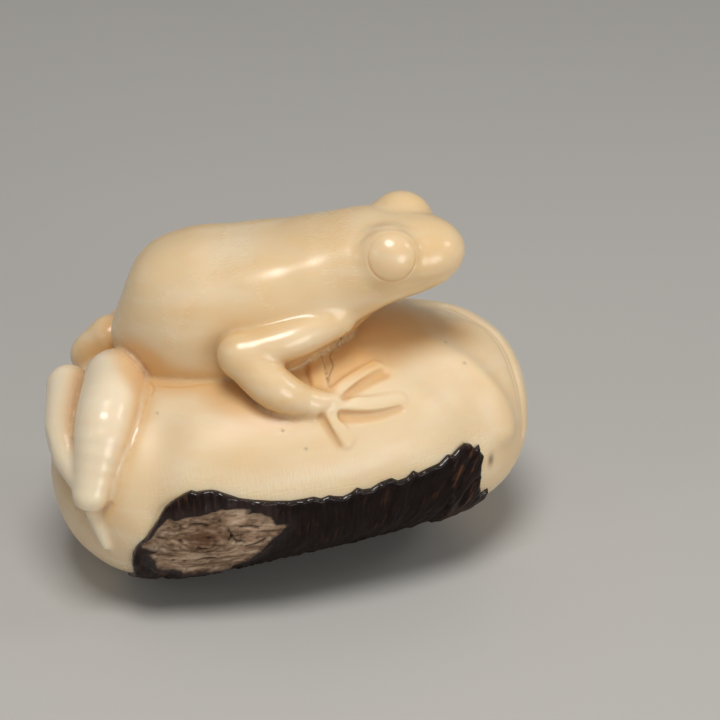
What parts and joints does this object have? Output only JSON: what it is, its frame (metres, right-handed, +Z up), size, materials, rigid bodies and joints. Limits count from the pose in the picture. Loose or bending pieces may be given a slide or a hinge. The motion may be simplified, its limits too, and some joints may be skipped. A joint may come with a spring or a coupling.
{
  "type": "frog figurine carved from a nut",
  "caption": "Small figurine of a frog crouching on the whole nut that it is carved from, with folded legs, spread toes and dark nut skin left along the lower front.",
  "frame": {"origin": "on the flat spot under the nut, near its middle and almost under the centre of mass", "axes": "+X along the nut towards the end that the frog looks over, +Y to the back, away from the side with the brown skin, +Z up from the surface that it rests on"},
  "size_m": [0.0593, 0.0396, 0.0457],
  "materials": {
    "ivory": "polished vegetable ivory, satin, slightly see-through at thin edges",
    "nut_skin": "rough dark brown fibrous skin of the nut"
  },
  "bodies": {
    "root": {"frog_on_nut": "ivory"}
  },
  "joints": []
}
